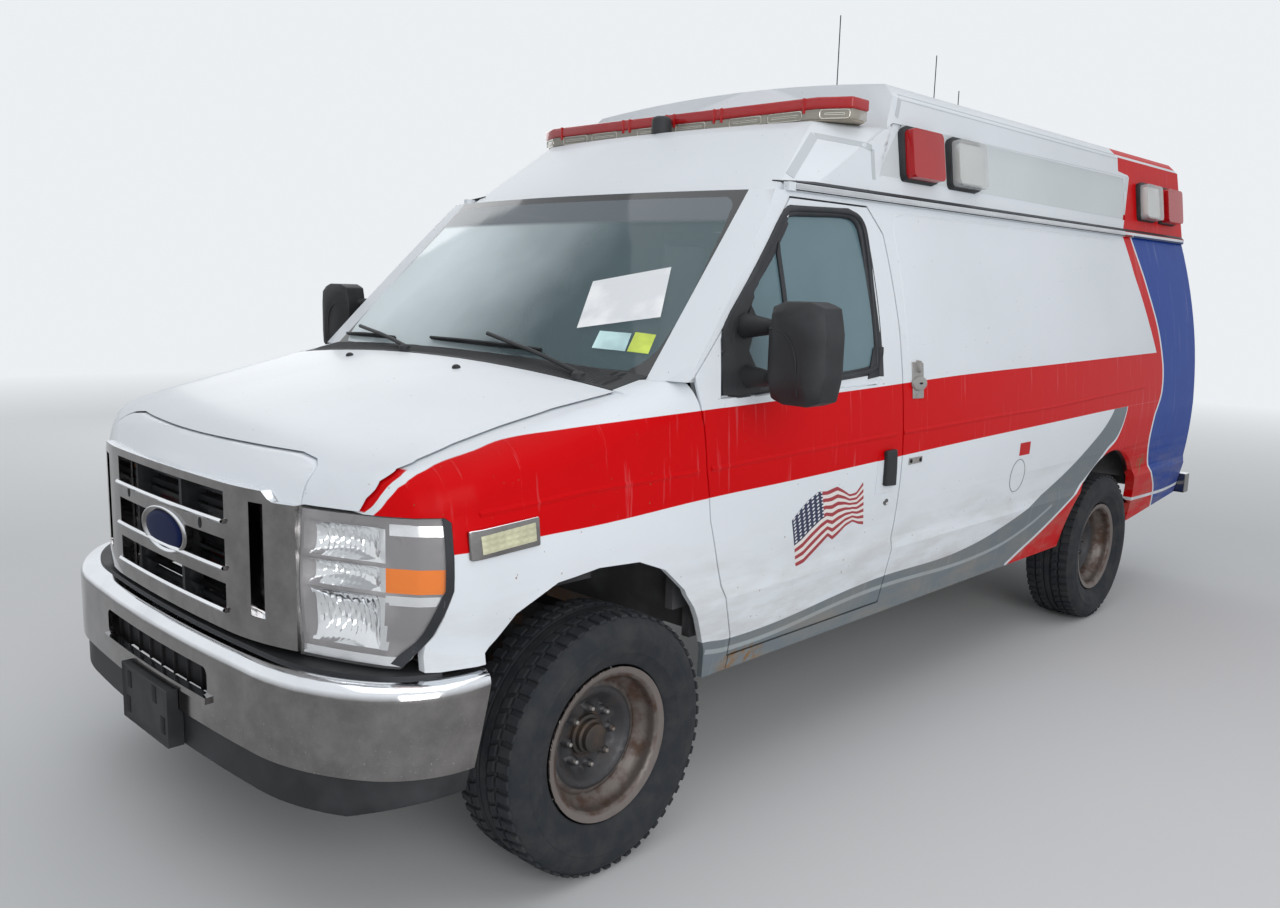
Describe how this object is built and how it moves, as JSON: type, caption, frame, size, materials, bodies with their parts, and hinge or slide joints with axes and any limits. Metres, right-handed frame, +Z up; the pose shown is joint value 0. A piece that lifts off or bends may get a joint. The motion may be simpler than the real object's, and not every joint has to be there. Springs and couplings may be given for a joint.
{
  "type": "raised-roof van ambulance",
  "caption": "Raised-roof van ambulance: hollow cab and patient compartment, opening doors and hood, steered front wheels, free-turning wheels.",
  "frame": {"origin": "centre of the bounding box's bottom face, on the ground", "axes": "+Z up, -Y towards the van's front, +X towards its left side"},
  "size_m": [2.64, 5.6, 2.8803],
  "materials": {
    "body_paint": "gloss",
    "roof_paint": "gloss moulded fibreglass, painted",
    "floor_steel": "satin",
    "chassis_steel": "matt black, rusty",
    "axle_iron": "rusty",
    "wheel_steel": "dark, rusty",
    "tyre": "matt",
    "chrome": "polished",
    "black_plastic": "grained",
    "glass": "clear",
    "lamp_clear": "clear lens",
    "lamp_red": "red lens",
    "dash_plastic": "grained",
    "seat_vinyl": "vinyl",
    "exhaust_steel": "dull"
  },
  "bodies": {
    "root": {"bulkhead": "body_paint", "bumper_valance": "black_plastic", "cab_seats": "seat_vinyl", "cowl_grille": "black_plastic", "dashboard": "dash_plastic", "driveshaft": "chassis_steel", "engine_block": "axle_iron", "exhaust": "exhaust_steel", "fender_lamps": "lamp_clear", "floor_pan": "floor_steel", "frame_rails": "chassis_steel", "front_beams": "chassis_steel", "front_bumper": "chrome", "front_fenders": "body_paint", "front_springs": "chassis_steel", "fuel_tank": "chassis_steel", "grille": "chrome", "grille_louvres": "black_plastic", "headlamps": "lamp_clear", "lightbar": "lamp_clear", "raised_roof": "roof_paint", "rear_axle": "axle_iron", "rear_bumper": "chrome", "roof_antenna": "black_plastic", "side_panel_left": "body_paint", "side_panel_right": "body_paint", "tail_lamps": "lamp_red", "warning_lamps_clear": "lamp_clear", "warning_lamps_red": "lamp_red", "whip_antennas": "black_plastic", "windshield": "glass"},
    "front_door_left_body": {"front_door_left": "body_paint", "front_door_glass_left": "glass", "mirror_left": "black_plastic"},
    "front_door_right_body": {"front_door_right": "body_paint", "front_door_glass_right": "glass", "mirror_right": "black_plastic"},
    "side_door_front_body": {"side_door_front": "body_paint", "side_door_glass_front": "glass"},
    "side_door_rear_body": {"side_door_rear": "body_paint", "side_door_glass_rear": "glass"},
    "rear_door_left_body": {"rear_door_left": "body_paint", "rear_door_glass_left": "glass"},
    "rear_door_right_body": {"rear_door_right": "body_paint", "rear_door_glass_right": "glass"},
    "hood_body": {"hood": "body_paint"},
    "steer_left_body": {"knuckle_left": "axle_iron"},
    "steer_right_body": {"knuckle_right": "axle_iron"},
    "wheel_front_left_body": {"wheel_front_left": "wheel_steel", "tyre_front_left": "tyre"},
    "wheel_front_right_body": {"wheel_front_right": "wheel_steel", "tyre_front_right": "tyre"},
    "wheel_rear_left_body": {"wheel_rear_left": "wheel_steel", "tyre_rear_left": "tyre"},
    "wheel_rear_right_body": {"wheel_rear_right": "wheel_steel", "tyre_rear_right": "tyre"}
  },
  "joints": [
    {"name": "front_door_left_hinge", "type": "hinge", "parent": "root", "child": "front_door_left_body", "pos_m": [0.997, -1.585, 1], "axis": [0, 0, -1], "range_deg": [0, 70]},
    {"name": "front_door_right_hinge", "type": "hinge", "parent": "root", "child": "front_door_right_body", "pos_m": [-0.997, -1.585, 1], "axis": [0, 0, 1], "range_deg": [0, 70]},
    {"name": "side_door_front_hinge", "type": "hinge", "parent": "root", "child": "side_door_front_body", "pos_m": [-1.012, -0.445, 1], "axis": [0, 0, 1], "range_deg": [0, 90]},
    {"name": "side_door_rear_hinge", "type": "hinge", "parent": "root", "child": "side_door_rear_body", "pos_m": [-1.012, 0.643, 1], "axis": [0, 0, -1], "range_deg": [0, 90]},
    {"name": "rear_door_left_hinge", "type": "hinge", "parent": "root", "child": "rear_door_left_body", "pos_m": [0.793, 2.732, 1], "axis": [0, 0, -1], "range_deg": [0, 100]},
    {"name": "rear_door_right_hinge", "type": "hinge", "parent": "root", "child": "rear_door_right_body", "pos_m": [-0.793, 2.732, 1], "axis": [0, 0, 1], "range_deg": [0, 100]},
    {"name": "hood_hinge", "type": "hinge", "parent": "root", "child": "hood_body", "pos_m": [0, -1.823, 1.392], "axis": [-1, 0, 0], "range_deg": [0, 48]},
    {"name": "steer_left", "type": "hinge", "parent": "root", "child": "steer_left_body", "pos_m": [0.735, -1.92, 0.373], "axis": [0, 0, 1], "range_deg": [-32, 32]},
    {"name": "steer_right", "type": "hinge", "parent": "root", "child": "steer_right_body", "pos_m": [-0.735, -1.92, 0.373], "axis": [0, 0, 1], "range_deg": [-32, 32]},
    {"name": "wheel_front_left_spin", "type": "hinge", "parent": "steer_left_body", "child": "wheel_front_left_body", "pos_m": [0.8815, -1.92, 0.373], "axis": [1, 0, 0], "continuous": true},
    {"name": "wheel_front_right_spin", "type": "hinge", "parent": "steer_right_body", "child": "wheel_front_right_body", "pos_m": [-0.8815, -1.92, 0.373], "axis": [1, 0, 0], "continuous": true},
    {"name": "wheel_rear_left_spin", "type": "hinge", "parent": "root", "child": "wheel_rear_left_body", "pos_m": [0.8535, 1.585, 0.373], "axis": [1, 0, 0], "continuous": true},
    {"name": "wheel_rear_right_spin", "type": "hinge", "parent": "root", "child": "wheel_rear_right_body", "pos_m": [-0.8535, 1.585, 0.373], "axis": [1, 0, 0], "continuous": true}
  ],
  "couplings": [
    {"joint": "steer_right", "follows": "steer_left", "ratio": 1}
  ]
}
